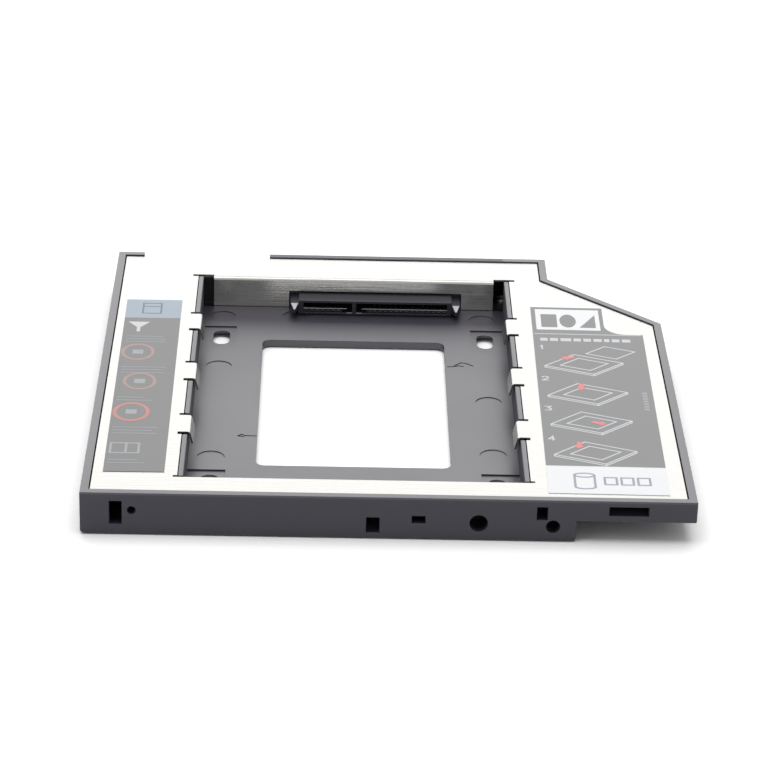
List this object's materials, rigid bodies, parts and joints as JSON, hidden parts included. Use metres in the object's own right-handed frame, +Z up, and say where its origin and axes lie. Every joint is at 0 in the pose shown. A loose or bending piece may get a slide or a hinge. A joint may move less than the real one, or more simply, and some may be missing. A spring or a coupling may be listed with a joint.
{
  "type": "laptop drive caddy",
  "caption": "Slim tray for a laptop's optical bay that holds a 2.5 inch drive: moulded frame, folded sheet plate with spring tabs, drive socket and rear plug.",
  "frame": {"origin": "centre of the box's lower face, on the surface that the caddy rests on", "axes": "+X across the caddy to the right seen from the front, +Y from the front face to the rear rim, +Z up"},
  "size_m": [0.128, 0.1262, 0.0095],
  "materials": {
    "tray_plastic": "fine moulded texture, black",
    "plate_metal": "bright tinned sheet, fine brushed",
    "board_laminate": "green solder mask",
    "connector_plastic": "smooth moulded, black",
    "contact_gold": "thin gold plating",
    "clip_tin": "tinned",
    "screw_steel": "zinc plated",
    "capacitor": "fired, matt",
    "resistor": "glazed",
    "left_label_print": "printed, semi-gloss",
    "right_label_print": "printed, semi-gloss"
  },
  "bodies": {
    "root": {"tray": "tray_plastic", "top_plate": "plate_metal", "circuit_board": "board_laminate", "drive_socket": "connector_plastic", "host_plug": "connector_plastic", "presence_resistor": "resistor", "left_label": "left_label_print", "right_label": "right_label_print", "drive_signal_contact_1": "contact_gold", "drive_signal_contact_2": "contact_gold", "drive_signal_contact_3": "contact_gold", "drive_signal_contact_4": "contact_gold", "drive_signal_contact_5": "contact_gold", "drive_signal_contact_6": "contact_gold", "drive_signal_contact_7": "contact_gold", "drive_power_contact_1": "contact_gold", "drive_power_contact_2": "contact_gold", "drive_power_contact_3": "contact_gold", "drive_power_contact_4": "contact_gold", "drive_power_contact_5": "contact_gold", "drive_power_contact_6": "contact_gold", "drive_power_contact_7": "contact_gold", "drive_power_contact_8": "contact_gold", "drive_power_contact_9": "contact_gold", "drive_power_contact_10": "contact_gold", "drive_power_contact_11": "contact_gold", "drive_power_contact_12": "contact_gold", "drive_power_contact_13": "contact_gold", "drive_power_contact_14": "contact_gold", "drive_power_contact_15": "contact_gold", "host_signal_contact_1": "contact_gold", "host_signal_contact_2": "contact_gold", "host_signal_contact_3": "contact_gold", "host_signal_contact_4": "contact_gold", "host_signal_contact_5": "contact_gold", "host_signal_contact_6": "contact_gold", "host_signal_contact_7": "contact_gold", "host_power_contact_1": "contact_gold", "host_power_contact_2": "contact_gold", "host_power_contact_3": "contact_gold", "host_power_contact_4": "contact_gold", "host_power_contact_5": "contact_gold", "host_power_contact_6": "contact_gold", "drive_socket_clip_left": "clip_tin", "drive_socket_clip_right": "clip_tin", "host_plug_clip_left": "clip_tin", "host_plug_clip_right": "clip_tin", "board_screw_left": "screw_steel", "board_screw_right": "screw_steel", "supply_capacitor_1": "capacitor", "supply_capacitor_2": "capacitor"}
  },
  "joints": []
}
